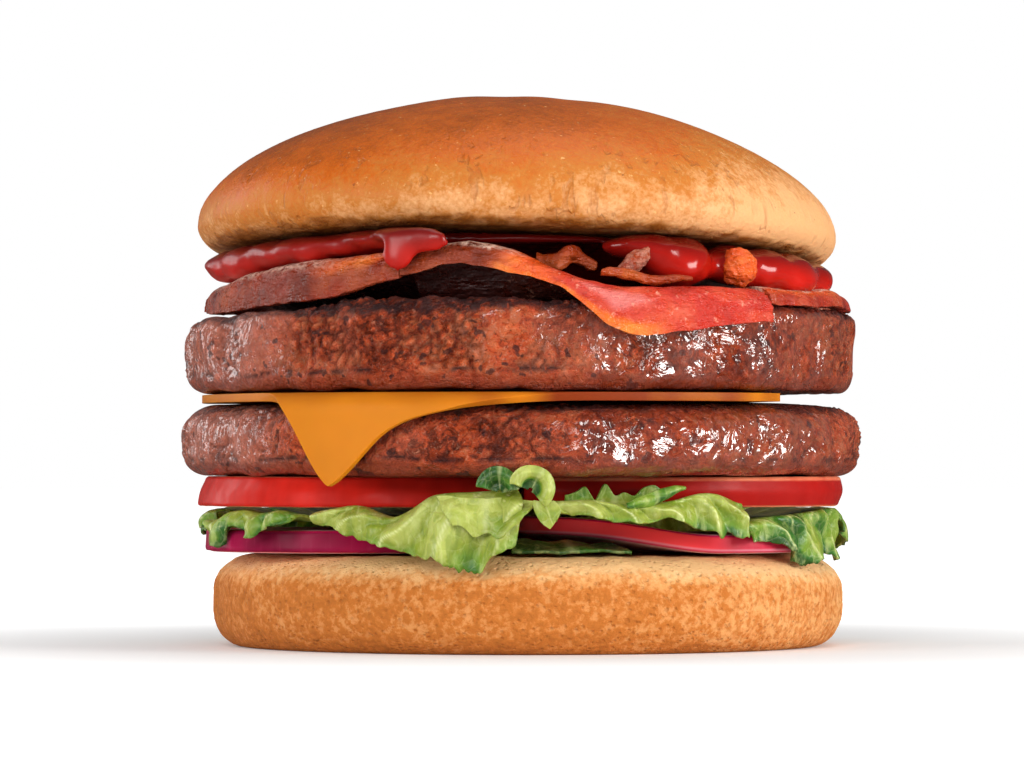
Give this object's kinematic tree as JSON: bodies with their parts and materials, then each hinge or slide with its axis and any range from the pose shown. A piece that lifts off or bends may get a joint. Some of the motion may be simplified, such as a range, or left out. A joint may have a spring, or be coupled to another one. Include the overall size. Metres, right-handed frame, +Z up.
{
  "type": "double cheeseburger",
  "caption": "Stacked cheeseburger: domed bun over ketchup, bacon, patties with a drooping cheese slice, tomato, lettuce and red onion on a flat bun heel.",
  "frame": {"origin": "on the ground, in the heel's flat underside, under the middle of the patties", "axes": "+Z up through the stack, -Y the front where the cheese corner hangs, +X to the right seen from the front"},
  "size_m": [0.1094, 0.111, 0.0882],
  "materials": {
    "bun": "soft baked crust",
    "beef": "browned and moist",
    "cheese": "smooth and waxy",
    "tomato": "wet and glossy",
    "red_onion": "moist and smooth",
    "lettuce": "waxy leaf",
    "bacon": "moist and fatty",
    "ketchup": "wet and glossy"
  },
  "bodies": {
    "root": {"bun_crown": "bun", "bun_heel": "bun", "patty_upper": "beef", "patty_lower": "beef", "cheese": "cheese", "tomato_left": "tomato", "tomato_right": "tomato", "tomato_back": "tomato", "onion_left": "red_onion", "onion_right": "red_onion", "onion_back": "red_onion", "lettuce_left": "lettuce", "lettuce_front": "lettuce", "lettuce_right": "lettuce", "lettuce_tip": "lettuce", "lettuce_far_right": "lettuce", "lettuce_back": "lettuce", "lettuce_back_left": "lettuce", "lettuce_far_left": "lettuce", "lettuce_under": "lettuce", "lettuce_curl": "lettuce", "lettuce_dark_curl": "lettuce", "lettuce_small_tip": "lettuce", "lettuce_frill": "lettuce", "bacon_left": "bacon", "bacon_front": "bacon", "bacon_right": "bacon", "bacon_back": "bacon", "bacon_back_left": "bacon", "bacon_strip": "bacon", "bacon_bit": "bacon", "bacon_lump": "bacon", "browned_curl": "bacon", "ketchup": "ketchup"}
  },
  "joints": []
}
